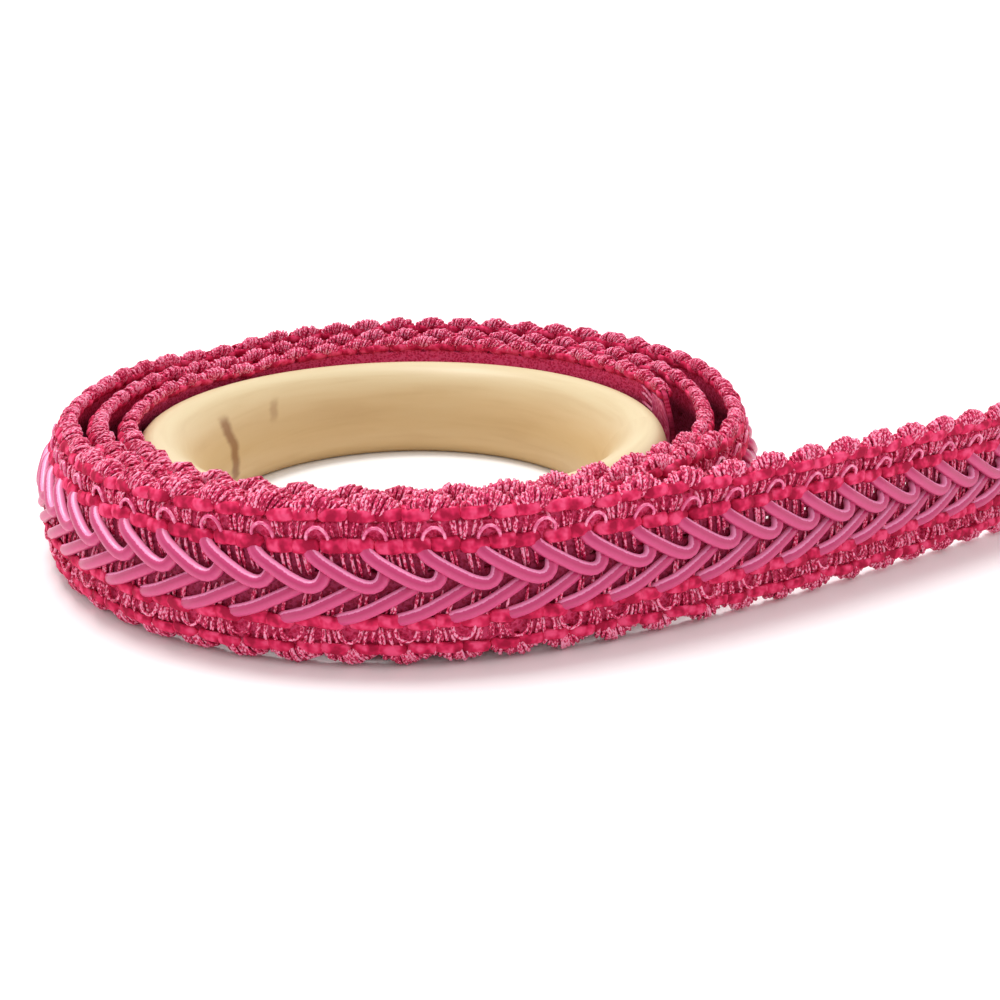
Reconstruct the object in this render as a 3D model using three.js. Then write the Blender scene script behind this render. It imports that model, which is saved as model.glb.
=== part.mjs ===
import * as THREE from 'three';
import { mergeVertices } from 'three/addons/utils/BufferGeometryUtils.js';

// Lace ribbon, a gimp braid trim, standing on its edge and wound almost three times round
// a turned wooden ring. Its loose end runs straight off to the right.
// Millimetres, +Z up, wound counter-clockwise from above, with +X to the right of the front view.

// Wooden ring: an upright oval section, which leans outward at the top, turned round the axis
const RING_RADIUS = 21;
const RING_HALF_WALL = 3;
const RING_HALF_HEIGHT = 4.7;
const RING_FLARE = 0.3;
const RING_FLAT = 2;
const RING_STEPS = 60;
const OVAL_STEPS = 20;

// Ribbon, cut from a length of trim
const RIBBON_WIDTH = 12.4;
const PITCH = 3.85;
const REPEATS = 148;
const RIBBON_LENGTH = REPEATS * PITCH;
const FIRST_RELIEF_REPEAT = 79;
const REPEAT_STEPS = 4;
const BACK_DEPTH = 0.75;
const EDGE_DEPTH = 0.6;
const SCALLOP_DEPTH = 1.1;
const SCALLOP_ROUNDNESS = 0.6;

// Braid strands, which point along the ribbon like a row of arrow heads. The strands and the
// scallops of the lower half stand half a repeat behind those of the upper half.
const LOWER_SHIFT = 0.5;
const STRAND_PHASE = 0.25;
const BRAID_REACH = 1.3 * PITCH;
const BRAID_HALF_WIDTH = 2.6;
const STRAND_CREST = 1.15;
const STRAND_TROUGH = 0.5;
const EDGE_ROW = 0.9;

// Outer face, from one edge to the other: across is the share of the width, proud the height
// of the face where it isn't the braid's own, and braid how far a strand has run to the middle
const MIDDLE = 0.5;
const BRAID_ROW = MIDDLE - BRAID_HALF_WIDTH / RIBBON_WIDTH;
const BRAID_WAY = (MIDDLE + BRAID_ROW) / 2;
const RELIEF_FACE = [
  { across: 0.115, proud: EDGE_ROW, braid: 0 },
  { across: BRAID_ROW, proud: EDGE_ROW, braid: 0 },
  { across: BRAID_WAY, braid: 0.5 },
  { across: MIDDLE, braid: 1 },
  { across: 1 - BRAID_WAY, braid: 0.5 },
  { across: 1 - BRAID_ROW, proud: EDGE_ROW, braid: 0 },
  { across: 0.885, proud: EDGE_ROW, braid: 0 },
];
const PLAIN_FACE = [
  { across: 0.13, proud: EDGE_ROW, braid: 0 },
  { across: MIDDLE, proud: STRAND_CREST, braid: 0 },
  { across: 0.87, proud: EDGE_ROW, braid: 0 },
];

// Winding: the turn at which each stretch begins, in degrees from +X, and the layer it lies in.
// The ribbon climbs a layer where it passes over its own cut end. The layers stand off from
// a circle of the winding's radius, and the ribbon leans about a point at the lean's height.
const WINDING_RADIUS = 20;
const LEAN_HEIGHT = 5;
const FIRST_LAYER = 6.3;
const LAYER_SPACING = 2.7;
const START_TURN = 10;
const LEAVE_TURN = 997;
const TURN_STEP = 1;
const CLIMBS = [
  { turn: START_TURN, layer: 0 },
  { turn: 300, layer: 0 },
  { turn: 370, layer: 1 },
  { turn: 660, layer: 1 },
  { turn: 730, layer: 2 },
  { turn: LEAVE_TURN, layer: 2 },
];

// Loose end: the heading that it settles to, in degrees, and the lengths over which it
// straightens and stands up
const LOOSE_HEADING = 34;
const STRAIGHTENING = 15;
const UPRIGHTING = 25;
const LOOSE_STEP = 0.5;

// How the ribbon stands at each bearing: the lean of its top towards the ring, in degrees,
// how far its middle bows out beyond its two edges, and how much closer each layer is drawn
const STANCES = [
  { turn: 0, lean: 10, bow: 0.8, drawn: 0 },
  { turn: 30, lean: 4, bow: 0.3, drawn: 0 },
  { turn: 50, lean: 0, bow: 0, drawn: -0.1 },
  { turn: 95, lean: -1, bow: 0, drawn: -0.2 },
  { turn: 118, lean: 8, bow: 0.5, drawn: 0 },
  { turn: 138, lean: 20, bow: 0.8, drawn: 0.2 },
  { turn: 158, lean: 14, bow: 0.8, drawn: 0.2 },
  { turn: 180, lean: 14, bow: 1.2, drawn: 0.25 },
  { turn: 205, lean: 11, bow: 1.2, drawn: 0.25 },
  { turn: 240, lean: 5, bow: 0.8, drawn: 0 },
  { turn: 270, lean: 4, bow: 0.6, drawn: 0 },
  { turn: 300, lean: 1, bow: 0.3, drawn: 0 },
  { turn: 335, lean: 2, bow: 0.2, drawn: 0 },
  { turn: 360, lean: 10, bow: 0.8, drawn: 0 },
];

// Share of the full width that stands up: the inner layers are drawn down a little
const HEIGHTS = [
  { turn: START_TURN, height: 0.92 },
  { turn: 250, height: 0.9 },
  { turn: 420, height: 0.94 },
  { turn: 640, height: 0.95 },
  { turn: 760, height: 1 },
  { turn: LEAVE_TURN, height: 1 },
];

// Value of a table's column at a turn, eased from row to row
function eased(table, column, turn) {
  const last = table[table.length - 1];
  if (turn <= table[0].turn) return table[0][column];
  if (turn >= last.turn) return last[column];
  const after = table.findIndex((row) => row.turn > turn);
  const from = table[after - 1];
  const to = table[after];
  const share = THREE.MathUtils.smoothstep(turn, from.turn, to.turn);
  return THREE.MathUtils.lerp(from[column], to[column], share);
}

// Distance of the ribbon's middle from the circle that it is wound about
function standOff(turn) {
  return FIRST_LAYER + (LAYER_SPACING - eased(STANCES, 'drawn', turn % 360)) * eased(CLIMBS, 'layer', turn);
}

// Unit vector in plan of an angle in degrees
function pointing(degrees) {
  const angle = THREE.MathUtils.degToRad(degrees);
  return new THREE.Vector2(Math.cos(angle), Math.sin(angle));
}

// Middle line of the ribbon in plan: close stations, each with its turn, length and direction,
// and with hold, the share of the winding's stance that is left
function layMiddleLine() {
  const line = [];
  let last = { length: 0, spot: pointing(START_TURN).multiplyScalar(WINDING_RADIUS + standOff(START_TURN)) };
  const layTo = (spot, turn, hold) => {
    last = { turn, hold, length: last.length + spot.distanceTo(last.spot), spot };
    line.push(last);
  };
  for (let turn = START_TURN; turn <= LEAVE_TURN; turn += TURN_STEP) {
    layTo(pointing(turn).multiplyScalar(WINDING_RADIUS + standOff(turn)), turn, 1);
  }
  const leaveHeading = (LEAVE_TURN + 90) % 360;
  for (let run = 0; last.length < RIBBON_LENGTH + LOOSE_STEP; run += LOOSE_STEP) {
    const heading = THREE.MathUtils.lerp(LOOSE_HEADING, leaveHeading, Math.exp(-run / STRAIGHTENING));
    const spot = pointing(heading).multiplyScalar(LOOSE_STEP).add(last.spot);
    layTo(spot, LEAVE_TURN, Math.exp(-run / UPRIGHTING));
  }
  line.forEach((station, k) => {
    const before = line[Math.max(k - 1, 0)].spot;
    const after = line[Math.min(k + 1, line.length - 1)].spot;
    station.along = after.clone().sub(before).normalize();
  });
  return line;
}

const MIDDLE_LINE = layMiddleLine();

// Middle line at a length along the ribbon
function follow(length) {
  const after = MIDDLE_LINE.findIndex((station, k) => k > 0 && station.length >= length);
  const from = MIDDLE_LINE[after - 1];
  const to = MIDDLE_LINE[after];
  const share = (length - from.length) / (to.length - from.length);
  return {
    turn: THREE.MathUtils.lerp(from.turn, to.turn, share),
    hold: THREE.MathUtils.lerp(from.hold, to.hold, share),
    spot: from.spot.clone().lerp(to.spot, share),
    along: from.along.clone().lerp(to.along, share).normalize(),
  };
}

// Point in space of a length along the ribbon, a share of its width and a height off its middle
function place(length, across, proud) {
  const { turn, hold, spot, along } = follow(length);
  const lean = hold * THREE.MathUtils.degToRad(eased(STANCES, 'lean', turn % 360));
  const bow = hold * eased(STANCES, 'bow', turn % 360);
  const out = standOff(turn);
  const foot = (out - bow + LEAN_HEIGHT * Math.sin(lean)) / Math.cos(lean) - out;
  const up = across * RIBBON_WIDTH * eased(HEIGHTS, 'height', turn);
  const off = proud + bow * 4 * across * (1 - across);
  const side = foot - up * Math.sin(lean) + off * Math.cos(lean);
  const height = up * Math.cos(lean) + off * Math.sin(lean);
  return new THREE.Vector3(spot.x + along.y * side, spot.y - along.x * side, Math.max(height, 0));
}

// How far an edge lies inside the tips of its scallops, as a share of the width
function notchAt(repeat) {
  const scallop = Math.abs(Math.sin(Math.PI * repeat)) ** SCALLOP_ROUNDNESS;
  return (1 - scallop) * SCALLOP_DEPTH / RIBBON_WIDTH;
}

// Height of the outer face where the strands run
function strandAt(repeat) {
  const crest = Math.abs(Math.cos(Math.PI * (repeat - STRAND_PHASE)));
  return THREE.MathUtils.lerp(STRAND_TROUGH, STRAND_CREST, crest);
}

// One closed section of the ribbon: bottom edge, outer face, top edge, then the plain back
function section(repeat, face) {
  const length = repeat * PITCH;
  const topNotch = notchAt(repeat);
  const bottomNotch = notchAt(repeat + LOWER_SHIFT);
  const reach = Math.min(BRAID_REACH, (RIBBON_LENGTH - length) / 2);
  const proud = (row) => row.proud ?? strandAt(row.across < MIDDLE ? repeat + LOWER_SHIFT : repeat);
  return {
    loop: [
      place(length, bottomNotch, EDGE_DEPTH),
      ...face.map((row) => place(length + row.braid * reach, row.across, proud(row))),
      place(length, 1 - topNotch, EDGE_DEPTH),
      place(length, 1 - topNotch, -BACK_DEPTH),
      place(length, MIDDLE, -BACK_DEPTH),
      place(length, bottomNotch, -BACK_DEPTH),
    ],
    shares: [0, ...face.map((row) => row.across), 1, 2, 2.5, 3],
  };
}

// All sections along the ribbon, plain where the next layer covers them
function sections() {
  const all = [];
  for (let repeat = 0; repeat < REPEATS; repeat += 1) {
    const face = repeat < FIRST_RELIEF_REPEAT ? PLAIN_FACE : RELIEF_FACE;
    for (let step = 0; step < REPEAT_STEPS; step += 1) {
      all.push(section(repeat + step / REPEAT_STEPS, face));
    }
  }
  all.push(section(REPEATS, RELIEF_FACE));
  return all;
}

// Triangles between two neighbouring sections, which may have different numbers of points
function bridge(triangles, a, b) {
  const wayRound = 4;
  let i = 0;
  let j = 0;
  while (i < a.count || j < b.count) {
    const nextA = i < a.count ? a.shares[i + 1] ?? wayRound : Infinity;
    const nextB = j < b.count ? b.shares[j + 1] ?? wayRound : Infinity;
    const fromA = a.first + i % a.count;
    const fromB = b.first + j % b.count;
    if (nextA <= nextB) {
      i += 1;
      triangles.push(fromA, fromB, a.first + i % a.count);
    } else {
      j += 1;
      triangles.push(fromA, fromB, b.first + j % b.count);
    }
  }
}

// Flat cut at one end of the ribbon, whose corners are seen in a view along the ribbon
function closeEnd(triangles, points, end, facesBack) {
  const corners = points.slice(end.first, end.first + end.count);
  const outward = corners[0].clone().sub(corners[end.count - 1]).setZ(0).normalize();
  const flat = corners.map((corner) => new THREE.Vector2(corner.dot(outward), corner.z));
  for (const face of THREE.ShapeUtils.triangulateShape(flat, [])) {
    const triangle = face.map((k) => end.first + k);
    triangles.push(...(facesBack ? triangle.reverse() : triangle));
  }
}

function makeRibbon() {
  const points = [];
  const triangles = [];
  const rings = sections().map(({ loop, shares }) => {
    const first = points.length;
    points.push(...loop);
    return { first, count: loop.length, shares };
  });
  for (let k = 1; k < rings.length; k += 1) bridge(triangles, rings[k - 1], rings[k]);
  closeEnd(triangles, points, rings[0], false);
  closeEnd(triangles, points, rings[rings.length - 1], true);
  const geometry = new THREE.BufferGeometry().setFromPoints(points);
  geometry.setIndex(triangles);
  geometry.computeVertexNormals();
  return geometry;
}

// Turned ring: the oval section, with its flat at the bottom, swept round the axis
function makeRing() {
  const flatAngle = Math.asin(RING_FLAT / 2 / RING_HALF_WALL);
  const rise = RING_HALF_HEIGHT * Math.cos(flatAngle);
  const profile = [];
  for (let step = 0; step < OVAL_STEPS; step += 1) {
    const share = step / (OVAL_STEPS - 1);
    const angle = flatAngle - Math.PI / 2 + share * 2 * (Math.PI - flatAngle);
    const up = RING_HALF_HEIGHT * Math.sin(angle);
    const out = RING_HALF_WALL * Math.cos(angle) + RING_FLARE * up;
    profile.push(new THREE.Vector2(RING_RADIUS + out, rise + up));
  }
  profile.push(profile[0].clone());
  const turned = new THREE.LatheGeometry(profile, RING_STEPS);
  turned.deleteAttribute('normal');
  turned.deleteAttribute('uv');
  const geometry = mergeVertices(turned);
  geometry.computeVertexNormals();
  return geometry;
}

const ribbon = new THREE.Mesh(
  makeRibbon(),
  new THREE.MeshStandardMaterial({ color: 0xdb3069, roughness: 0.55, metalness: 0 }),
);
ribbon.name = 'lace_ribbon';

const ring = new THREE.Mesh(
  makeRing(),
  new THREE.MeshStandardMaterial({ color: 0xe3cd9f, roughness: 0.5, metalness: 0 }),
);
ring.name = 'wooden_ring';
ring.rotation.x = Math.PI / 2;

// The origin lies on the ground, in the middle of the whole
const group = new THREE.Group();
group.add(ring, ribbon);
const bounds = new THREE.Box3().setFromObject(group, true);
const centre = bounds.getCenter(new THREE.Vector3());
group.position.set(-centre.x, -centre.y, -bounds.min.z);

export default group;
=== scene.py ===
import math

import bpy
import numpy as np
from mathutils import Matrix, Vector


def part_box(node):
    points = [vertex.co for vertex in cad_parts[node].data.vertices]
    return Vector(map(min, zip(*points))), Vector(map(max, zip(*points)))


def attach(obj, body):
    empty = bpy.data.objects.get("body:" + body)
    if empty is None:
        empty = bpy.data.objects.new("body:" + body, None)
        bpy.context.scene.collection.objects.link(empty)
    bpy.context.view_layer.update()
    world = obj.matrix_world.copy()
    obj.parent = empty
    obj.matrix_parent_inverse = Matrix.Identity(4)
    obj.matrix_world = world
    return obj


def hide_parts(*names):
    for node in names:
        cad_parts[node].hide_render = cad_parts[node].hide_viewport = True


# A gimp braid trim on edge, wound round a turned wooden ring, with its loose end running off to
# the right. Its yarns are laid in the flat ribbon first, in millimetres: s along the ribbon,
# w up its width from the bottom edge, and n proud of its middle. place() then bends them round.

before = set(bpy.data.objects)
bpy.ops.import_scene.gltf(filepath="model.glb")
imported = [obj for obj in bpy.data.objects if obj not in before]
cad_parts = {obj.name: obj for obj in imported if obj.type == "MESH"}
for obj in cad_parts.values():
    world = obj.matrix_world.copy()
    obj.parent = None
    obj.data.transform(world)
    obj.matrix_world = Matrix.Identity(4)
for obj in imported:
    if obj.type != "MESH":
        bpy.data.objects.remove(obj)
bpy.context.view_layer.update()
SEED = 7204
MM = 0.001

# Camera, at the photograph's angle
CAMERA_SPOT = (-0.00838, -0.10319, 0.0380)
CAMERA_PITCH = 0.346
FOCAL_SHARE = 1.147
SENSOR_WIDTH = 36
CLIP_START = 0.005

# Soft sun from above and behind, and a studio whose light falls off towards the front
SUN_WAY = (-0.2, 0.25, 1.0)
SUN_SOFTNESS = 20
SUN_POWER = 1.7
STUDIO_SPAN = (-0.9, 0.1)
STUDIO_STRENGTH = (0.64, 1.1)
STUDIO_COLOUR = (1, 0.995, 0.99, 1)

FLOOR_HALF_SIZE = 1.5
FLOOR_HEIGHT = -0.0001
FLOOR_COLOUR = (0.95, 0.945, 0.945, 1)

# Wooden ring, with the same oval section as its solid
RING_RADIUS = 21
RING_HALF_WALL = 3
RING_HALF_HEIGHT = 4.7
RING_FLARE = 0.3
RING_FLAT = 2
RING_STEPS, OVAL_STEPS = 240, 56

# Ribbon and its winding, as in the solid, with turns and headings in degrees
WIDTH = 12.4
PITCH = 3.85
HALF_PITCH = PITCH / 2
REPEATS = 148
LENGTH = REPEATS * PITCH
SCALLOP_DEPTH = 1.1
SCALLOP_ROUNDNESS = 0.6
WINDING_RADIUS = 20
LEAN_HEIGHT = 5
FIRST_LAYER = 6.3
LAYER_SPACING = 2.7
START_TURN = 10
LEAVE_TURN = 997
LOOSE_HEADING = 34
STRAIGHTENING = 15
UPRIGHTING = 25
LOOSE_STEP = 0.5
SPARE_TURN = 6
SPARE_LENGTH = 6
LOWEST = 0.01

# Turn, and the layers climbed by then
CLIMBS = np.array([(10, 0), (300, 0), (370, 1), (660, 1), (730, 2), (997, 2)], float)

# Angle round the ring, lean in degrees, bow outward, and how far each layer is drawn in
STANCES = np.array([
    (0, 10, 0.8, 0), (30, 4, 0.3, 0), (50, 0, 0, -0.1), (95, -1, 0, -0.2), (118, 8, 0.5, 0),
    (138, 20, 0.8, 0.2), (158, 14, 0.8, 0.2), (180, 14, 1.2, 0.25), (205, 11, 1.2, 0.25),
    (240, 5, 0.8, 0), (270, 4, 0.6, 0), (300, 1, 0.3, 0), (335, 2, 0.2, 0), (360, 10, 0.8, 0),
], float)
LEAN, BOW, DRAWN = 1, 2, 3

# Turn, and the ribbon's height as a share of its width
HEIGHTS = np.array([(10, 0.92), (250, 0.9), (420, 0.94), (640, 0.95), (760, 1), (997, 1)], float)

# Repeats whose whole outer face shows, and whose back shows as well
FIRST_OPEN = 77
FIRST_LOOSE = 126

TOP, BOTTOM = 1, 0
FRONT, BACK = 1, -1
ALONG, OUTWARD = (1, 0, 0), (0, 0, 1)

# Tubes: points of a curve to each span, their ends' width, and how far their tips stand out
CURVE_STEPS = 12
END_TAPER = 0.45
TIP_SHARE = 0.5

# Room that a whole strand leaves before the ribbon's ends, and a cut one
WHOLE_ROOM = 0.05
CUT_ROOM = 0.02
FEWEST_STEPS = 3
STILL = (0, 0, 0)
UV_SLIDE = 3


# The winding

def eased(rows, column, at):
    """Value of a table's column, eased from row to row."""
    at = np.clip(at, rows[0, 0], rows[-1, 0])
    row = np.clip(np.searchsorted(rows[:, 0], at, side="right") - 1, 0, len(rows) - 2)
    share = (at - rows[row, 0]) / (rows[row + 1, 0] - rows[row, 0])
    share = share * share * (3 - 2 * share)
    return rows[row, column] + (rows[row + 1, column] - rows[row, column]) * share


def stand_off(turn):
    """Distance of the ribbon's middle from the circle that it is wound about."""
    spacing = LAYER_SPACING - eased(STANCES, DRAWN, turn % 360)
    return FIRST_LAYER + spacing * eased(CLIMBS, 1, turn)


def pointing(degrees):
    """Unit vectors at these angles."""
    return np.stack([np.cos(np.radians(degrees)), np.sin(np.radians(degrees))], -1)


def unit(rows):
    return rows / np.linalg.norm(rows, axis=1)[:, None]


def run_along(points):
    """Length along a row of points, at each of them."""
    return np.concatenate([[0], np.cumsum(np.linalg.norm(np.diff(points, axis=0), axis=1))])


def lay_middle_line():
    """Columns: length, turn, hold, x, y, and the direction's x and y."""
    turns = np.arange(START_TURN - SPARE_TURN, LEAVE_TURN + 1, dtype=float)
    spots = pointing(turns) * (WINDING_RADIUS + stand_off(turns))[:, None]
    lengths = run_along(spots)
    lengths -= lengths[SPARE_TURN]
    rows = [(a, t, 1.0, x, y) for a, t, (x, y) in zip(lengths, turns, spots)]
    leave = (LEAVE_TURN + 90) % 360
    run = 0.0
    while rows[-1][0] < LENGTH + SPARE_LENGTH:
        heading = LOOSE_HEADING + (leave - LOOSE_HEADING) * math.exp(-run / STRAIGHTENING)
        x = rows[-1][3] + LOOSE_STEP * math.cos(math.radians(heading))
        y = rows[-1][4] + LOOSE_STEP * math.sin(math.radians(heading))
        rows.append((rows[-1][0] + LOOSE_STEP, LEAVE_TURN, math.exp(-run / UPRIGHTING), x, y))
        run += LOOSE_STEP
    line = np.array(rows)
    return np.hstack([line, unit(np.gradient(line[:, 3:5], axis=0))])


MIDDLE_LINE = lay_middle_line()
low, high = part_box("wooden_ring")
RING_X = (low.x + high.x) / 2 / MM
RING_Y = (low.y + high.y) / 2 / MM


def place(flat):
    """Points of the flat ribbon, in mm, to their place in the winding."""
    length, w, proud = flat[..., 0], flat[..., 1], flat[..., 2]
    turn, hold, x, y, ax, ay = (
        np.interp(length, MIDDLE_LINE[:, 0], MIDDLE_LINE[:, k]) for k in range(1, 7)
    )
    size = np.hypot(ax, ay)
    ax, ay = ax / size, ay / size
    lean = hold * np.radians(eased(STANCES, LEAN, turn % 360))
    bow = hold * eased(STANCES, BOW, turn % 360)
    out = stand_off(turn)
    foot = (out - bow + LEAN_HEIGHT * np.sin(lean)) / np.cos(lean) - out
    across = w / WIDTH
    up = w * eased(HEIGHTS, 1, turn)
    off = proud + bow * 4 * across * (1 - across)
    side = foot - up * np.sin(lean) + off * np.cos(lean)
    height = np.maximum(up * np.cos(lean) + off * np.sin(lean), LOWEST)
    return np.stack([RING_X + x + ay * side, RING_Y + y - ax * side, height], -1)


# Tubes, yarns and meshes

def smooth(points, steps):
    """A curve through the points, as evenly spaced points."""
    ends = [2 * points[0] - points[1], 2 * points[-1] - points[-2]]
    p = np.vstack([ends[0], points, ends[1]])
    fine = []
    for a, b, c, d in zip(p, p[1:], p[2:], p[3:]):
        for t in np.linspace(0, 1, CURVE_STEPS, endpoint=False):
            fine.append(0.5 * (2 * b + (c - a) * t + (2 * a - 5 * b + 4 * c - d) * t * t
                               + (3 * b - a - 3 * c + d) * t ** 3))
    fine = np.array(fine + [points[-1]])
    run = run_along(fine)
    at = np.linspace(0, run[-1], steps)
    return np.stack([np.interp(at, run, fine[:, k]) for k in range(3)], -1)


def corner_uv(*corners):
    """The uv of faces' corners, from u and v at each corner in turn."""
    return np.stack([np.stack(np.broadcast_arrays(u, v), -1) for u, v in corners], 1)


def tube(path, wide, high, sides, reference):
    """Closed tube on a path: points, quads, triangles, their corners' uv, and the points' rise.

    Its width lies square to the reference. The rise runs from -1 to 1 over the width.
    """
    steps = len(path)
    tangent = unit(np.gradient(path, axis=0))
    side = unit(np.cross(tangent, reference))
    up = np.cross(side, tangent)
    round_ = 2 * math.pi * np.arange(sides) / sides
    size = np.ones(steps)
    size[0] = size[-1] = END_TAPER
    ring = (np.cos(round_)[None, :, None] * side[:, None, :] * wide
            + np.sin(round_)[None, :, None] * up[:, None, :] * high) * size[:, None, None]
    tip = min(wide, high) * END_TAPER * TIP_SHARE
    points = np.vstack([
        (path[:, None, :] + ring).reshape(-1, 3),
        path[0] - tangent[0] * tip, path[-1] + tangent[-1] * tip,
    ])

    run = run_along(path)
    around = 2 * math.pi * (wide + high) / 2
    k, j = (a.ravel() for a in np.meshgrid(np.arange(steps - 1), np.arange(sides), indexing="ij"))
    start, after = k * sides, (j + 1) % sides
    quads = np.stack([start + j, start + sides + j, start + sides + after, start + after], -1)
    u0, u1 = run[k], run[k + 1]
    v0, v1 = j / sides * around, (j + 1) / sides * around
    quad_uv = corner_uv((u0, v0), (u1, v0), (u1, v1), (u0, v1))

    j = np.arange(sides)
    after = (j + 1) % sides
    base, first = (steps - 1) * sides, np.full(sides, steps * sides)
    tris = np.vstack([np.stack([j, after, first], -1),
                      np.stack([base + after, base + j, first + 1], -1)])
    v0, v1 = j / sides * around, (j + 1) / sides * around
    middle, end = (v0 + v1) / 2, run[-1]
    tri_uv = np.vstack([corner_uv((0.0, v0), (0.0, v1), (-tip, middle)),
                        corner_uv((end, v1), (end, v0), (end + tip, middle))])
    rise = np.append(np.tile(-np.cos(round_), steps), [0, 0])
    return points, quads, tris, quad_uv, tri_uv, rise


def centres(stretch, half):
    """Lengths of the middles of a stretch's scallops, which start half a repeat in at the top."""
    first, last = stretch
    if half == TOP:
        return [k * PITCH + HALF_PITCH for k in range(first, last)]
    return [k * PITCH for k in range(first, last + 1)]


def mirrored(path, half):
    """A path given by its distance from the nearest edge, as width from the bottom edge."""
    path = np.array(path, float)
    if half == TOP:
        path[:, 1] = WIDTH - path[:, 1]
    return path


class Yarns:
    """Yarns of one kind, collected in the flat ribbon and then bent round with it."""

    def __init__(self, seed):
        self.random = np.random.default_rng(SEED + seed)
        self.points, self.quads, self.tris = [], [], []
        self.quad_uv, self.tri_uv, self.tones, self.rises = [], [], [], []
        self.count = 0

    def add(self, shape, places, sway):
        """Repeats one tube at these lengths along the ribbon, each a little out of true."""
        points, quads, tris, quad_uv, tri_uv, rise = shape
        n, many = len(points), len(places)
        shift = self.random.normal(0, 1, (many, 3)) * sway
        shift[:, 0] += places
        self.points.append((points[None] + shift[:, None, :]).reshape(-1, 3))
        start = self.count + n * np.arange(many)
        self.quads.append((quads[None] + start[:, None, None]).reshape(-1, 4))
        self.tris.append((tris[None] + start[:, None, None]).reshape(-1, 3))
        slide = self.random.uniform(0, UV_SLIDE, (many, 1, 1, 2))
        self.quad_uv.append((quad_uv[None] + slide).reshape(-1, 2))
        self.tri_uv.append((tri_uv[None] + slide).reshape(-1, 2))
        self.tones.append(np.repeat(self.random.uniform(0, 1, many), n))
        self.rises.append(np.tile(rise, many))
        self.count += n * many

    def strand(self, path, half, stretch, section, steps, sway, reference=OUTWARD):
        """Adds a strand to every repeat of the stretch, cut off where the ribbon ends."""
        path = smooth(mirrored(path, half), steps)
        places = centres(stretch, half)
        start, end = path[:, 0].min(), path[:, 0].max()
        whole = [x for x in places
                 if x + start > WHOLE_ROOM and x + end < LENGTH - WHOLE_ROOM]
        self.add(tube(path, *section, reference), whole, sway)
        for x in sorted(set(places) - set(whole)):
            s = path[:, 0] + x
            kept = path[(s > CUT_ROOM) & (s < LENGTH - CUT_ROOM)]
            if len(kept) >= FEWEST_STEPS:
                self.add(tube(kept, *section, reference), [x], STILL)

    def make(self, name, material):
        """The yarns as one piece, bent round."""
        uv = np.vstack(self.quad_uv + self.tri_uv)
        points = place(np.vstack(self.points))
        mesh = new_mesh(name, points, np.vstack(self.quads), np.vstack(self.tris), "yarn", uv)
        for kind, values in (("tone", self.tones), ("rise", self.rises)):
            attribute = mesh.attributes.new(kind, "FLOAT", "POINT")
            attribute.data.foreach_set("value", np.concatenate(values))
        return finish_piece(name, mesh, material)


NO_TRIS = np.zeros((0, 3), int)


def new_mesh(name, points, quads, tris, uv_name, uv):
    """Smooth mesh from points in mm, with a uv for every corner of its faces."""
    mesh = bpy.data.meshes.new(name)
    mesh.vertices.add(len(points))
    mesh.vertices.foreach_set("co", np.ascontiguousarray(points * MM, np.float32).ravel())
    corners = np.concatenate([quads.ravel(), tris.ravel()]).astype(np.int32)
    mesh.loops.add(len(corners))
    mesh.loops.foreach_set("vertex_index", corners)
    starts = np.append(4 * np.arange(len(quads)), 4 * len(quads) + 3 * np.arange(len(tris)))
    mesh.polygons.add(len(starts))
    mesh.polygons.foreach_set("loop_start", starts.astype(np.int32))
    mesh.update(calc_edges=True)
    mesh.polygons.foreach_set("use_smooth", np.ones(len(starts), bool))
    mesh.uv_layers.new(name=uv_name).data.foreach_set("uv", np.ascontiguousarray(uv).ravel())
    return mesh


def finish_piece(name, mesh, material):
    piece = bpy.data.objects.new(name, mesh)
    bpy.context.scene.collection.objects.link(piece)
    mesh.materials.append(material)
    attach(piece, "root")
    return piece


# Materials

def feed(tree, socket, value):
    """Links an output to the socket, or sets the socket to a plain value."""
    if isinstance(value, bpy.types.NodeSocket):
        tree.links.new(value, socket)
    else:
        socket.default_value = value


def node(tree, kind, **values):
    """New node, with these values in its inputs or, where it has no such input, its settings."""
    made = tree.nodes.new("ShaderNode" + kind)
    for key, value in values.items():
        if key in made.inputs:
            feed(tree, made.inputs[key], value)
        else:
            setattr(made, key, value)
    return made


def combined(tree, kind, operation, *values):
    """Output of a Math or VectorMath node whose inputs are outputs or plain numbers."""
    made = node(tree, kind, operation=operation)
    for socket, value in zip(made.inputs, values):
        feed(tree, socket, value)
    return made.outputs[0]


def maths(tree, operation, *values):
    return combined(tree, "Math", operation, *values)


def times(tree, colour, other):
    return combined(tree, "VectorMath", "MULTIPLY", colour, other)


def ranged(tree, value, span, results, kind="LINEAR"):
    """Runs from the first result to the second as the value runs over the span."""
    made = node(tree, "MapRange", Value=value, interpolation_type=kind)
    for key, bound in zip(("From Min", "From Max", "To Min", "To Max"), (*span, *results)):
        made.inputs[key].default_value = bound
    return made.outputs["Result"]


def faded(tree, value, low, high):
    """Runs smoothly from 0 at low to 1 at high."""
    return ranged(tree, value, (low, high), (0, 1), "SMOOTHSTEP")


def srgb(text):
    """Linear colour of a six-figure screen colour."""
    parts = [int(text[k:k + 2], 16) / 255 for k in (0, 2, 4)]
    return tuple(c / 12.92 if c <= 0.04045 else ((c + 0.055) / 1.055) ** 2.4 for c in parts)


def ramp(tree, stops, factor):
    """Colour ramp, whose stops are screen colours or linear ones."""
    made = node(tree, "ValToRGB", Fac=factor)
    elements = made.color_ramp.elements
    while len(elements) < len(stops):
        elements.new(0.5)
    for element, (at, colour) in zip(elements, stops):
        element.position = at
        element.color = (*(srgb(colour) if isinstance(colour, str) else colour), 1)
    return made.outputs["Color"]


def uv_of(tree, name):
    return node(tree, "UVMap", uv_map=name).outputs["UV"]


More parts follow.
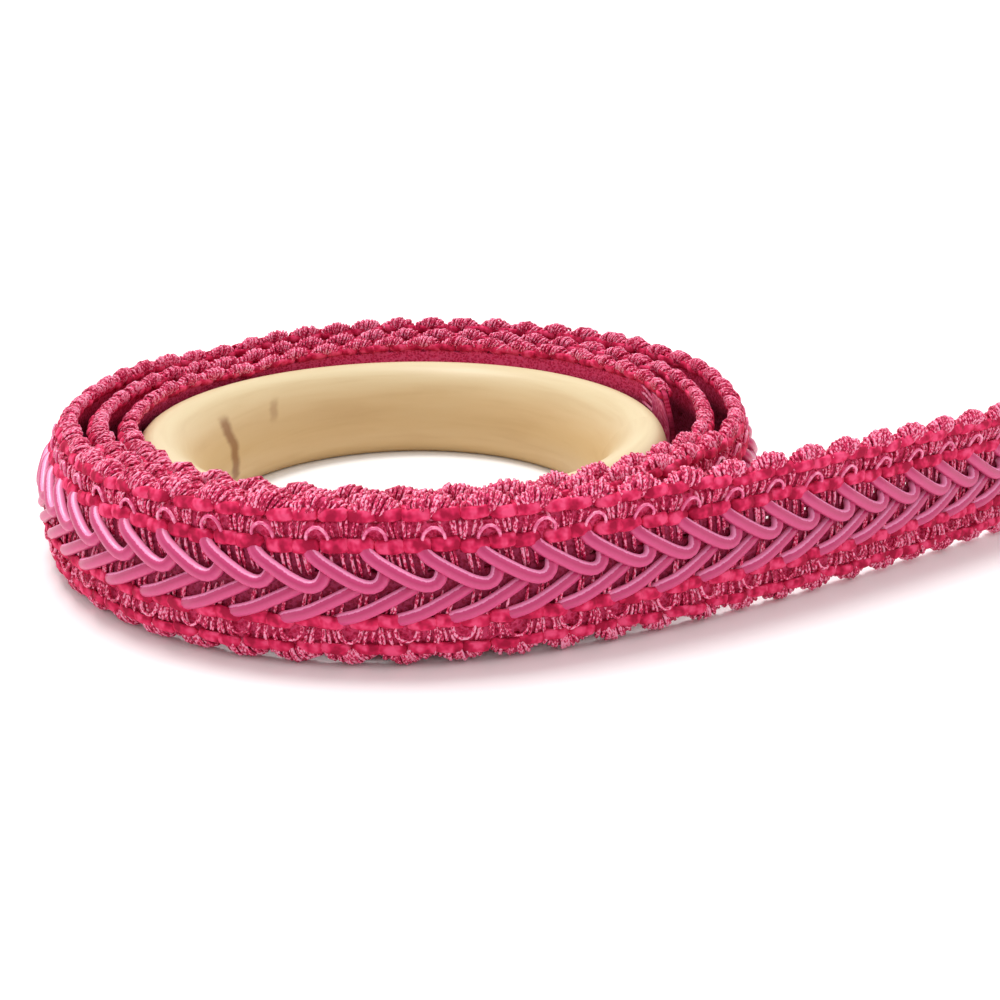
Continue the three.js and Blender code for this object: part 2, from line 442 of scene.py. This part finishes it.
def noise(tree, at, **values):
    return node(tree, "TexNoise", Vector=at, **values).outputs["Fac"]


def new_material(name, **values):
    """New material, with these values in its Principled shader."""
    made = bpy.data.materials.new(name)
    made.use_nodes = True
    for key, value in values.items():
        principled_of(made).inputs[key.replace("_", " ")].default_value = value
    return made


def principled_of(material):
    return material.node_tree.nodes["Principled BSDF"]


def surface(material, colour, height, depth, strength=1.0):
    """Gives the material its colour, and bumps of this depth in metres."""
    tree, principled = material.node_tree, principled_of(material)
    feed(tree, principled.inputs["Base Color"], colour)
    bump = node(tree, "Bump", Strength=strength, Distance=depth, Height=height)
    feed(tree, principled.inputs["Normal"], bump.outputs["Normal"])
    return material


# The yarns' pale colours are partly painted glints on the fibres, and their dark ones partly
# painted shade between them.
YARN_MIDDLE = 0.57
TONE_SHARE = 0.14
FIBRE_DETAIL = 2.0


def yarn_material(name, colours, scale, spread, depth, **values):
    """Dyed yarn, speckled darker and paler along its fibres, partly its own uneven dye and partly
    painted glints and painted shade, with a tone of its own for each strand.
    """
    made = new_material(name, **values)
    tree = made.node_tree
    fibre = noise(tree, uv_of(tree, "yarn"), Scale=scale, Detail=FIBRE_DETAIL)
    tone = node(tree, "Attribute", attribute_name="tone").outputs["Fac"]
    shade = maths(tree, "MULTIPLY_ADD", tone, TONE_SHARE, fibre)
    stops = [(YARN_MIDDLE + way * spread, colour) for way, colour in zip((-1, 0, 1), colours)]
    return surface(made, ramp(tree, stops, shade), fibre, depth)


# Painted light and shade round the cord, from its lower side at 0 to its upper side at 1: a paler
# rim low down, a darker middle band, and a pale painted highlight near the top.
SATIN_PAINTED_LIGHT_STOPS = [(0.0, "B82A62"), (0.12, "E05A8C"), (0.3, "D64380"), (0.62, "C02C68"),
               (0.83, "CE3876"), (0.89, "FFA4D2"), (0.96, "FF98C8")]
WRAP_SCALE = (5, 0.8, 1)
WRAP_DEPTH = 0.00001
RISE_SHARE = 0.5
UNEVENNESS, UNEVEN_START = 0.12, 0.44


def satin_material():
    """Silky wrapping, with a painted highlight in a line along the cord's upper side and painted
    shade below it.

    The ramp runs from the cord's lower side at 0 to its upper side at 1, a little unevenly.
    """
    made = new_material("satin_gimp_painted_highlight", Roughness=0.34, Specular_IOR_Level=0.6)
    tree = made.node_tree
    wraps = node(tree, "Mapping", Vector=uv_of(tree, "yarn"), Scale=WRAP_SCALE)
    fibre = noise(tree, wraps.outputs["Vector"], Scale=1.0, Detail=FIBRE_DETAIL)
    uneven = maths(tree, "MULTIPLY_ADD", fibre, UNEVENNESS, UNEVEN_START)
    rise = node(tree, "Attribute", attribute_name="rise").outputs["Fac"]
    share = maths(tree, "MULTIPLY_ADD", rise, RISE_SHARE, uneven)
    return surface(made, ramp(tree, SATIN_PAINTED_LIGHT_STOPS, share), fibre, WRAP_DEPTH)


# The knit is darker where its bumps are lower: painted shade in its hollows.
GROUND_STOPS = [(0.3, "A00C38"), (0.8, "D8235A"), (1.0, "F04C80")]
CELL_SCALE, CELL_SHARE = 3.2, 0.8
GROUND_DEPTH = 0.0001

# Painted shade on the ground under the braid, out to this far from the ribbon's middle
SHADE_STOPS = [(0.0, (0.42, 0.36, 0.42)), (1.0, (1, 1, 1))]
SHADE_FROM, SHADE_TO = 1.6, 3.2


def ground_material():
    """Fine knitting, whose cells and grain are both bumps and colour, with painted shade in their
    hollows and along the ribbon's middle under the braid.
    """
    made = new_material("knitted_ground", Roughness=0.75, Specular_IOR_Level=0.3)
    tree = made.node_tree
    uv = uv_of(tree, "yarn")
    cells = node(tree, "TexVoronoi", Vector=uv, Scale=CELL_SCALE).outputs["Distance"]
    knit = maths(tree, "MULTIPLY_ADD", cells, CELL_SHARE, noise(tree, uv, Scale=6.0, Detail=5.0))
    w = node(tree, "SeparateXYZ", Vector=uv).outputs["Y"]
    from_middle = maths(tree, "ABSOLUTE", maths(tree, "SUBTRACT", w, WIDTH / 2))
    shade = ramp(tree, SHADE_STOPS, faded(tree, from_middle, SHADE_FROM, SHADE_TO))
    colour = times(tree, ramp(tree, GROUND_STOPS, knit), shade)
    return surface(made, colour, knit, GROUND_DEPTH)


gimp = satin_material()
# The pale thread is a lit copy of the yarn, a painted highlight, for the arches at the top; it
# also gives the start patch its own pale colour.
loops = yarn_material("pale_thread_and_painted_highlight", ("DB4A80", "F26C9E", "FF9CC0"), scale=2.5, spread=0.15,
                      depth=0.00001, Roughness=0.25, Specular_IOR_Level=0.8)
thread = yarn_material("bright_thread", ("AC0A40", "F2336F", "FFA4C4"), scale=4.5, spread=0.09,
                       depth=0.00008, Roughness=0.4, Specular_IOR_Level=0.3)
chain = yarn_material("matte_chain", ("A80C3A", "DA2457", "F4507F"), scale=1.1, spread=0.13,
                      depth=0.0002, Roughness=0.75, Specular_IOR_Level=0.2)
ground = ground_material()


# The ribbon's ground

GROUND_STEPS = 12
GROUND_ROWS = [0.75, 1.3, 1.72, 2.0, 2.6, 3.3, 4.2, 5.0, 5.4, 5.8]
GROUND_FACE, GROUND_BACK = 0.14, -0.3
GROUND_INSET = 0.3
ROW_GAP = 0.1
ARCH_HOLE_ROW = 3
HOOK_HOLE_ROW = 8


def edge_depth(s):
    """How far the scalloped edge lies inside its tips, at a length from a scallop's start."""
    phase = (s / PITCH) % 1
    return SCALLOP_DEPTH * (1 - np.sin(math.pi * phase) ** SCALLOP_ROUNDNESS)


def make_ground():
    """Thin knitted sheet under the yarns, with its scalloped edges and small see-through holes."""
    columns = REPEATS * GROUND_STEPS + 1
    s = np.arange(columns) * PITCH / GROUND_STEPS
    top = WIDTH - GROUND_INSET - edge_depth(s)
    bottom = GROUND_INSET + edge_depth(s + HALF_PITCH)
    rows = list(enumerate(GROUND_ROWS, 1))
    lower = [np.maximum(d, bottom + ROW_GAP * k) for k, d in rows]
    upper = [np.minimum(WIDTH - d, top - ROW_GAP * k) for k, d in rows]
    w = np.stack([bottom, *lower, *reversed(upper), top], 1)
    count, total = w.shape[1], w.size
    face = np.stack([np.repeat(s[:, None], count, 1), w, np.full(w.shape, GROUND_FACE)], -1)
    back = face.copy()
    back[..., 2] = GROUND_BACK
    points = np.vstack([face.reshape(-1, 3), back.reshape(-1, 3)])

    i, j = np.meshgrid(np.arange(columns - 1), np.arange(count - 1), indexing="ij")
    step, from_top = i % GROUND_STEPS, count - 2 - j
    middle = GROUND_STEPS // 2
    holes = np.isin(from_top, (ARCH_HOLE_ROW, HOOK_HOLE_ROW)) & np.isin(step, (middle - 1, middle))
    holes |= (j == ARCH_HOLE_ROW) & np.isin(step, (GROUND_STEPS - 1, 0))
    a = (i * count + j)[~holes]
    front = np.stack([a, a + count, a + count + 1, a + 1], -1)
    edges = [(int(p), int(q)) for quad in front for p, q in zip(quad, np.roll(quad, -1))]
    known = set(edges)
    rim = [(q, p, p + total, q + total) for p, q in edges if (q, p) not in known]
    quads = np.vstack([front, front[:, ::-1] + total, np.array(rim)])
    used, inverse = np.unique(quads, return_inverse=True)
    quads = inverse.reshape(quads.shape)
    flat = points[used]
    uv = flat[quads.ravel()][:, :2]
    mesh = new_mesh("ground_sheet", place(flat), quads, NO_TRIS, "yarn", uv)
    return finish_piece("ground_sheet", mesh, ground)


ground_sheet = make_ground()


# The ribbon's yarns. A path's rows are s from the middle of a scallop, the distance from the
# nearest edge, and n. A section is half its width, half its height, and its number of sides.

ROW_1, ROW_2 = 1.4, 3.45
NARROW_ROW, WIDE_ROW = (ROW_1, 0.45), (ROW_2, 0.52)

THREADS = 11
THREAD_SECTION = (0.145, 0.15, 5)
THREAD_SWAY = (0.08, 0.06, 0.05)
THREAD_LEAN = 0.36
THREAD_INSET = 0.17
THREAD_SWELL = 0.12
TIP_SPREAD = 0.46
ROOT_SPREAD = 0.78


def edge_threads(yarns, stretch, steps):
    """Fine threads laid over both edges in scallops, all leaning the same way."""
    for half in (TOP, BOTTOM):
        for k in range(THREADS):
            share = (k + 0.5) / THREADS * 2 - 1
            tip = share * TIP_SPREAD * PITCH
            root = tip * ROOT_SPREAD
            deep = float(edge_depth(tip + HALF_PITCH)) + THREAD_INSET
            swell = THREAD_SWELL * (1 - share * share)
            middle = (deep + ROW_1) / 2
            path = [
                (root - 1.5 * THREAD_LEAN, ROW_1 + 0.1, 0.18),
                (root - THREAD_LEAN, middle + 0.25, 0.44 + swell),
                (tip - 0.5 * THREAD_LEAN, deep + 0.16, 0.33),
                (tip, deep, -0.04),
                (tip + 0.5 * THREAD_LEAN, deep + 0.16, -0.42),
                (root + THREAD_LEAN, middle + 0.25, -0.5 - swell),
                (root + 1.5 * THREAD_LEAN, ROW_1 + 0.1, -0.28),
            ]
            yarns.strand(path, half, stretch, THREAD_SECTION, steps, THREAD_SWAY, ALONG)


STITCH = [(-1.05, 0.12, 0.16), (-0.7, 0.05, 0.42), (0, 0, 0.56), (0.7, -0.05, 0.46),
          (1.05, -0.12, 0.2)]
STITCH_HEIGHT, STITCH_SIDES, STITCH_STEPS = 0.22, 8, 8
STITCH_SWAY = (0.1, 0.08, 0.05)
STITCH_SPOT = PITCH / 4 + 0.1


def chain_rows(yarns, stretch, rows, faces):
    """Rows of plump knitted chain stitches, two to a repeat."""
    for half in (TOP, BOTTOM):
        for row, wide in rows:
            for face in faces:
                for spot in (-STITCH_SPOT, STITCH_SPOT):
                    path = [(spot + s, row + d, n * face) for s, d, n in STITCH]
                    yarns.strand(path, half, stretch, (wide, STITCH_HEIGHT, STITCH_SIDES),
                                 STITCH_STEPS, STITCH_SWAY)


FAN_STRANDS = 4
FAN_SECTION, FAN_STEPS = (0.12, 0.12, 5), 6
FAN_SWAY = (0.14, 0.12, 0.06)


def fans(yarns, stretch, face):
    """Short glinting strands between the two chain rows, drawn in towards the arches."""
    for half in (TOP, BOTTOM):
        for side in (-1, 1):
            for k in range(FAN_STRANDS):
                foot = side * (0.95 + 0.3 * k)
                head = side * (0.5 + 0.42 * k)
                path = [
                    (head, ROW_1 + 0.3, 0.3 * face),
                    (head * 0.8 + foot * 0.2, ROW_1 + 0.65, 0.54 * face),
                    (head * 0.4 + foot * 0.6, ROW_1 + 1.2, 0.44 * face),
                    (foot, ROW_2 - 0.3, 0.22 * face),
                ]
                yarns.strand(path, half, stretch, FAN_SECTION, FAN_STEPS, FAN_SWAY)


INNER_SPOTS = (-1.7, -1.25, -0.8, 0.55, 1.0, 1.5)
INNER_SECTION, INNER_STEPS = (0.13, 0.13, 5), 5
INNER_SWAY = (0.14, 0.1, 0.05)


def inner_strands(yarns, stretch):
    """Strands that lie deeper, between the chain rows and the middle."""
    for half in (TOP, BOTTOM):
        for s in INNER_SPOTS:
            path = [(s, ROW_2 + 0.2, 0.25), (s + 0.15, ROW_2 + 1.0, 0.32), (s + 0.35, 5.6, 0.15)]
            yarns.strand(path, half, stretch, INNER_SECTION, INNER_STEPS, INNER_SWAY)


ARCH = [
    (-0.74, ROW_2 - 0.1, 0.3), (-0.74, ROW_2 - 0.7, 0.66), (-0.5, 2.3, 0.78), (0, 2.05, 0.8),
    (0.5, 2.3, 0.78), (0.74, ROW_2 - 0.7, 0.66), (0.76, ROW_2 - 0.1, 0.3),
]
ARCH_SECTION, ARCH_STEPS = (0.13, 0.13, 6), 12
ARCH_SWAY = (0.05, 0.05, 0.03)


def arches(yarns, stretch, half):
    """Ends of the cords' turns, which stand as small arches between the chain rows."""
    yarns.strand(ARCH, half, stretch, ARCH_SECTION, ARCH_STEPS, ARCH_SWAY)


# Patch of fused strands, whose rows are s, w and n, and the widths at which strands leave it
PATCH = [(0.3, 6.9, -0.4), (1.4, 7.0, -0.52), (2.8, 7.1, -0.52), (4.2, 7.2, -0.4)]
PATCH_SECTION, PATCH_STEPS = (3.4, 0.3, 18), 10
PATCH_STRANDS = (4.4, 5.3, 6.2, 7.3, 8.4, 9.5, 10.3)
PATCH_STRAND_SECTION, PATCH_STRAND_STEPS = (0.2, 0.16, 6), 7


def start_patch(yarns):
    """The ribbon's own start, where its strands are fused in a smooth patch."""
    shapes = [(PATCH, PATCH_STEPS, PATCH_SECTION)]
    for w in PATCH_STRANDS:
        path = [(3.4, 7 + (w - 7) * 0.8, -0.6), (5.0, w, -0.55), (6.6, w + 0.1, -0.4)]
        shapes.append((path, PATCH_STRAND_STEPS, PATCH_STRAND_SECTION))
    for path, steps, section in shapes:
        shape = tube(smooth(np.array(path), steps), *section, OUTWARD)
        yarns.add(shape, [0], STILL)


UPPER_CORD = [
    (-0.85, 3.25, -0.15), (-0.6, 3.85, 0.38), (0, 4.35, 0.66), (1.0, 5.0, 0.75),
    (2.0, 5.6, 0.8), (2.7, 5.95, 0.82), (3.4, 6.15, 0.8), (3.95, 6.05, 0.74),
    (4.3, 5.7, 0.58), (4.45, 5.25, 0.3), (4.5, 4.95, 0.0),
]
LOWER_CORD = [
    (-1.0, 3.3, -0.15), (-0.55, 3.65, 0.36), (0.4, 4.0, 0.64), (1.4, 4.4, 0.66),
    (2.4, 4.9, 0.58), (3.4, 5.4, 0.42), (4.2, 5.8, 0.22), (4.8, 6.1, 0.0),
]
BACK_CORD = [
    (1.0, ROW_2 + 0.1, -0.3), (0.6, 4.1, -0.42), (-0.6, 4.8, -0.46), (-1.8, 5.5, -0.46),
    (-2.6, 6.1, -0.4),
]
UPPER_SECTION, UPPER_STEPS = (0.49, 0.44, 12), 22
LOWER_SECTION, LOWER_STEPS = (0.49, 0.42, 12), 16
BACK_SECTION, BACK_STEPS = (0.6, 0.24, 10), 10
CORD_SWAY = (0.05, 0.05, 0.03)
BACK_SWAY = (0.05, 0.05, 0.02)


def braid_cords(cords, stretch):
    """Thick satin cords, which point along the ribbon and close over each other like a zip."""
    cords.strand(UPPER_CORD, TOP, stretch, UPPER_SECTION, UPPER_STEPS, CORD_SWAY)
    cords.strand(LOWER_CORD, BOTTOM, stretch, LOWER_SECTION, LOWER_STEPS, CORD_SWAY)


def back_cords(cords, stretch):
    """The same cords, pressed flat, on the back."""
    for half in (TOP, BOTTOM):
        cords.strand(BACK_CORD, half, stretch, BACK_SECTION, BACK_STEPS, BACK_SWAY)


# Stretches of repeats. The covered edge threads are two pieces, and so have fewer triangles each.
SPLIT = 40
COVERED, OPEN = (0, FIRST_OPEN), (FIRST_OPEN, REPEATS)
WOUND_OPEN, LOOSE = (FIRST_OPEN, FIRST_LOOSE), (FIRST_LOOSE, REPEATS)
BOTH_ROWS = [NARROW_ROW, WIDE_ROW]
COVERED_STEPS, OPEN_STEPS = 8, 10

# Each piece's name and material, and what is laid in it in turn
PIECES = [
    ("edge_threads_inner", thread, [(edge_threads, (0, SPLIT), COVERED_STEPS)]),
    ("edge_threads_middle", thread, [(edge_threads, (SPLIT, FIRST_OPEN), COVERED_STEPS)]),
    ("edge_threads_outer", thread, [(edge_threads, OPEN, OPEN_STEPS)]),
    ("chain_rows_inner", chain, [(chain_rows, COVERED, [NARROW_ROW], (FRONT, BACK))]),
    ("chain_rows_outer", chain, [(chain_rows, OPEN, BOTH_ROWS, (FRONT,))]),
    ("chain_rows_back", chain, [(chain_rows, WOUND_OPEN, [NARROW_ROW], (BACK,)),
                                (chain_rows, LOOSE, BOTH_ROWS, (BACK,))]),
    # The arches at the top are laid in the pale thread, a painted highlight, and those at the
    # bottom in the darker bright thread, painted shade.
    ("filament_fans", thread, [(fans, OPEN, FRONT), (inner_strands, OPEN),
                               (arches, OPEN, BOTTOM), (fans, LOOSE, BACK)]),
    ("pale_loops_and_painted_highlight", loops, [(arches, OPEN, TOP), (start_patch,)]),
    ("gimp_cords", gimp, [(braid_cords, OPEN), (back_cords, LOOSE)]),
]


def lay_piece(seed, name, material, layings):
    yarns = Yarns(seed)
    for lay, *values in layings:
        lay(yarns, *values)
    return yarns.make(name, material)


pieces = [lay_piece(seed, *plan) for seed, plan in enumerate(PIECES, 1)]

for piece in [ground_sheet, *pieces]:
    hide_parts("lace_ribbon")


# The wooden ring

GRAIN_SCALE = (0.05, 0.5, 1)
GRAIN_STOPS = [(0.2, "CDB78D"), (0.5, "D6C39A"), (0.85, "DACAA3")]
GRAIN_WOBBLE = 1.6
GRAIN_DEPTH, GRAIN_STRENGTH = 0.00003, 0.3

# Marks in the stain: start and end, in mm round the ring and over its section, and half width
STREAK, STREAK_DEPTH = ((60.2, 15.9), (62.0, 21.4), 1.0), 0.75
FAINT_MARK, FAINT_DEPTH = ((51.7, 15.8), (52.8, 17.4), 0.6), 0.35
MARK_STOPS = [(0.0, (1, 1, 1)), (1.0, "9A6A3C")]
MARK_CORE, MARK_EDGE = 0.3, 1.4
END_BEFORE, END_AFTER = 0.6, 0.5

# Painted shade: the wall is darker towards the inside of the ring, from here to here over its
# section
INSIDE_SHADE_STOPS = [(0.0, (1, 1, 1)), (1.0, (0.88, 0.74, 0.6))]
INSIDE_FROM, INSIDE_TO = 12.5, 18.0


def wood_mark(tree, u, v, start, end, half_width):
    """Soft line on the ring from start to end, in mm round the ring and over its section."""
    slope = (end[0] - start[0]) / (end[1] - start[1])
    middle = maths(tree, "MULTIPLY_ADD", v, slope, start[0] - slope * start[1])
    off = maths(tree, "ABSOLUTE", maths(tree, "SUBTRACT", u, middle))
    beside = faded(tree, off, half_width * MARK_CORE, half_width * MARK_EDGE)
    begun = faded(tree, v, start[1] - END_BEFORE, start[1] + END_AFTER)
    ended = faded(tree, v, end[1] - END_AFTER, end[1] + END_BEFORE)
    ends = maths(tree, "MULTIPLY", begun, maths(tree, "SUBTRACT", 1.0, ended))
    return maths(tree, "MULTIPLY", maths(tree, "SUBTRACT", 1.0, beside), ends)


def wood_material():
    """Pale turned wood, with faint grain, one brown streak, a fainter mark, and painted shade
    towards the inside of the ring.
    """
    made = new_material("turned_wood", Roughness=0.42, Specular_IOR_Level=0.4)
    tree = made.node_tree
    uv = uv_of(tree, "wood")
    parts = node(tree, "SeparateXYZ", Vector=uv).outputs
    mapping = node(tree, "Mapping", Vector=uv, Scale=GRAIN_SCALE)
    grain = noise(tree, mapping.outputs["Vector"], Scale=1.6, Detail=5.0, Distortion=0.3)
    wobble = maths(tree, "MULTIPLY_ADD", grain, GRAIN_WOBBLE, parts["X"])
    streak = wood_mark(tree, wobble, parts["Y"], *STREAK)
    faint = wood_mark(tree, wobble, parts["Y"], *FAINT_MARK)
    marks = maths(tree, "MULTIPLY_ADD", faint, FAINT_DEPTH,
                  maths(tree, "MULTIPLY", streak, STREAK_DEPTH))
    stained = times(tree, ramp(tree, GRAIN_STOPS, grain), ramp(tree, MARK_STOPS, marks))
    inside = ramp(tree, INSIDE_SHADE_STOPS, faded(tree, parts["Y"], INSIDE_FROM, INSIDE_TO))
    return surface(made, times(tree, stained, inside), grain, GRAIN_DEPTH, GRAIN_STRENGTH)


def make_ring():
    """The ring as an oval section turned round its axis, from the edge of its small flat."""
    flat_angle = math.asin(RING_FLAT / 2 / RING_HALF_WALL)
    turned = (flat_angle - math.pi / 2
              + np.linspace(0, 1, OVAL_STEPS) * 2 * (math.pi - flat_angle))
    round_ = 2 * math.pi * np.arange(RING_STEPS) / RING_STEPS
    up = RING_HALF_HEIGHT * np.sin(turned)
    radius = RING_RADIUS + RING_HALF_WALL * np.cos(turned) + RING_FLARE * up
    height = RING_HALF_HEIGHT * math.cos(flat_angle) + up
    points = np.stack([
        RING_X + np.cos(round_)[:, None] * radius[None],
        RING_Y + np.sin(round_)[:, None] * radius[None],
        np.repeat(height[None], RING_STEPS, 0),
    ], -1).reshape(-1, 3)

    i, j = (a.ravel() for a in np.meshgrid(
        np.arange(RING_STEPS), np.arange(OVAL_STEPS), indexing="ij"))
    row, next_row = i * OVAL_STEPS, (i + 1) % RING_STEPS * OVAL_STEPS
    after = (j + 1) % OVAL_STEPS
    quads = np.stack([row + j, next_row + j, next_row + after, row + after], -1)
    along = 2 * math.pi * RING_RADIUS / RING_STEPS
    girth = math.pi * (RING_HALF_WALL + RING_HALF_HEIGHT) / OVAL_STEPS
    u0, u1 = i * along, (i + 1) * along
    v0, v1 = j * girth, (j + 1) * girth
    uv = corner_uv((u0, v0), (u1, v0), (u1, v1), (u0, v1))
    mesh = new_mesh("turned_ring", points, quads, NO_TRIS, "wood", uv)
    piece = finish_piece("turned_ring", mesh, wood_material())
    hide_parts("wooden_ring")
    return piece


turned_ring = make_ring()


# Stage, light and camera

def make_floor():
    mesh = bpy.data.meshes.new("floor")
    size, z = FLOOR_HALF_SIZE, FLOOR_HEIGHT
    mesh.from_pydata([(-size, -size, z), (size, -size, z), (size, size, z), (-size, size, z)],
                     [], [(0, 1, 2, 3)])
    floor = bpy.data.objects.new("floor", mesh)
    bpy.context.scene.collection.objects.link(floor)
    mesh.materials.append(new_material("pale_floor", Base_Color=FLOOR_COLOUR, Roughness=0.6,
                                       Specular_IOR_Level=0.2))


def make_sun():
    """Soft light from far off, out of the direction that SUN_WAY points to."""
    light = bpy.data.lights.new("key", "SUN")
    light.angle = math.radians(SUN_SOFTNESS)
    light.energy = SUN_POWER
    lamp = bpy.data.objects.new("key", light)
    bpy.context.scene.collection.objects.link(lamp)
    x, y, z = SUN_WAY
    lamp.rotation_euler = (math.atan2(math.hypot(x, y), z), 0, math.atan2(y, x) + math.pi / 2)


def make_studio():
    world = bpy.data.worlds.new("studio")
    bpy.context.scene.world = world
    world.use_nodes = True
    tree = world.node_tree
    background = tree.nodes["Background"]
    direction = node(tree, "TexCoord").outputs["Generated"]
    to_back = node(tree, "SeparateXYZ", Vector=direction).outputs["Y"]
    strength = ranged(tree, to_back, STUDIO_SPAN, STUDIO_STRENGTH)
    feed(tree, background.inputs["Strength"], strength)
    feed(tree, background.inputs["Color"], STUDIO_COLOUR)


def make_camera():
    lens = bpy.data.cameras.new("camera")
    lens.sensor_width = SENSOR_WIDTH
    lens.lens = FOCAL_SHARE * SENSOR_WIDTH
    lens.clip_start = CLIP_START
    camera = bpy.data.objects.new("camera", lens)
    bpy.context.scene.collection.objects.link(camera)
    camera.location = CAMERA_SPOT
    camera.rotation_euler = (math.pi / 2 - CAMERA_PITCH, 0, 0)
    bpy.context.scene.camera = camera


make_floor()
make_sun()
make_studio()
make_camera()
bpy.context.scene.view_settings.view_transform = "Standard"
